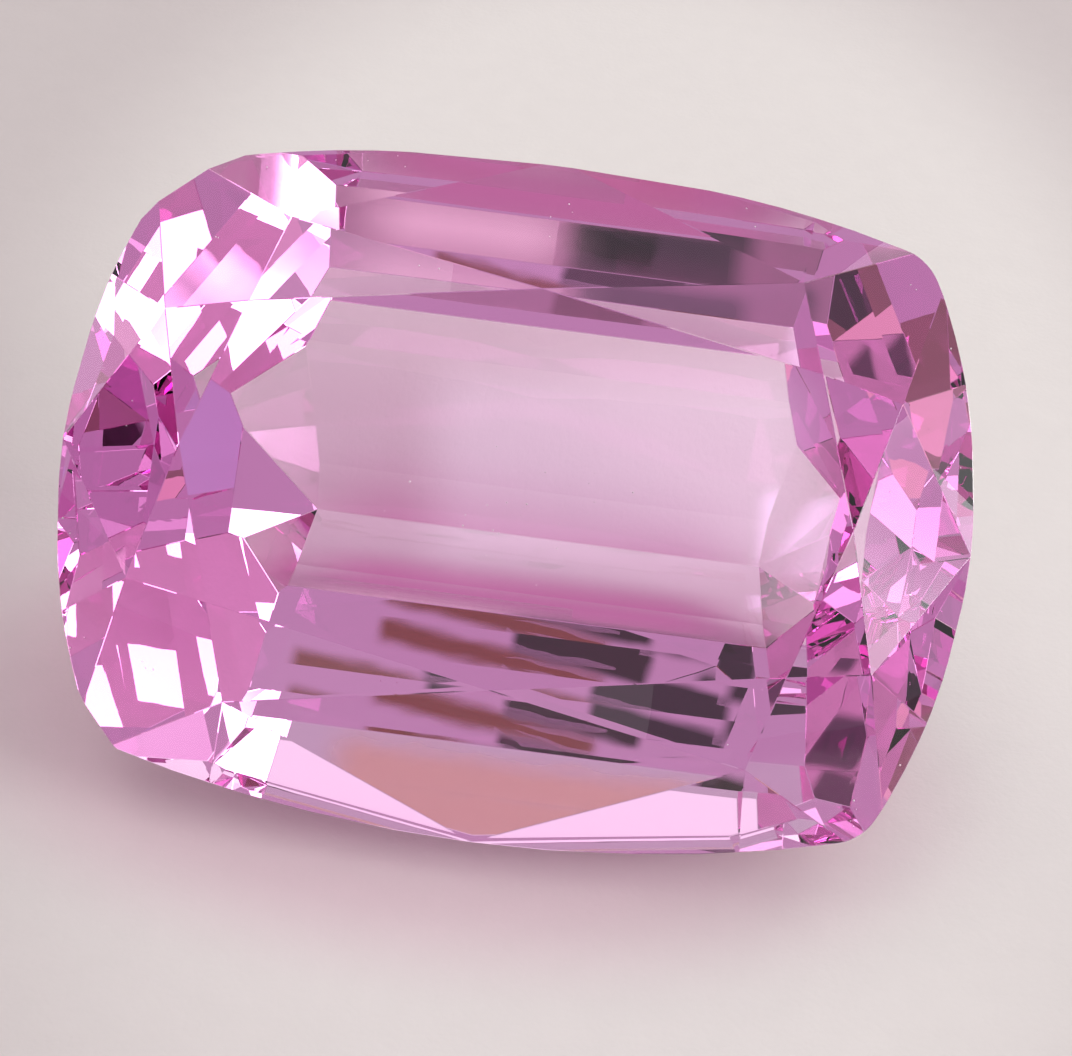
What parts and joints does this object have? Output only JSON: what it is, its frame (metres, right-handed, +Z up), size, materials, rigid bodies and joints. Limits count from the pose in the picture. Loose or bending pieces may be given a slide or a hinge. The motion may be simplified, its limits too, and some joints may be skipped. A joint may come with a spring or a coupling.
{
  "type": "faceted gemstone",
  "caption": "Cushion-cut kunzite gemstone, clear lilac pink, with a brilliant crown over a step-cut back, lying on a facet of its back.",
  "frame": {"origin": "middle of the bounding box, on the surface that the stone lies on", "axes": "+X along the stone's length, +Z up; the table faces up and forward, towards -Y"},
  "size_m": [0.024, 0.014, 0.014],
  "materials": {
    "kunzite": "polished, clear lilac pink"
  },
  "bodies": {
    "root": {"kunzite_gem": "kunzite"}
  },
  "joints": []
}
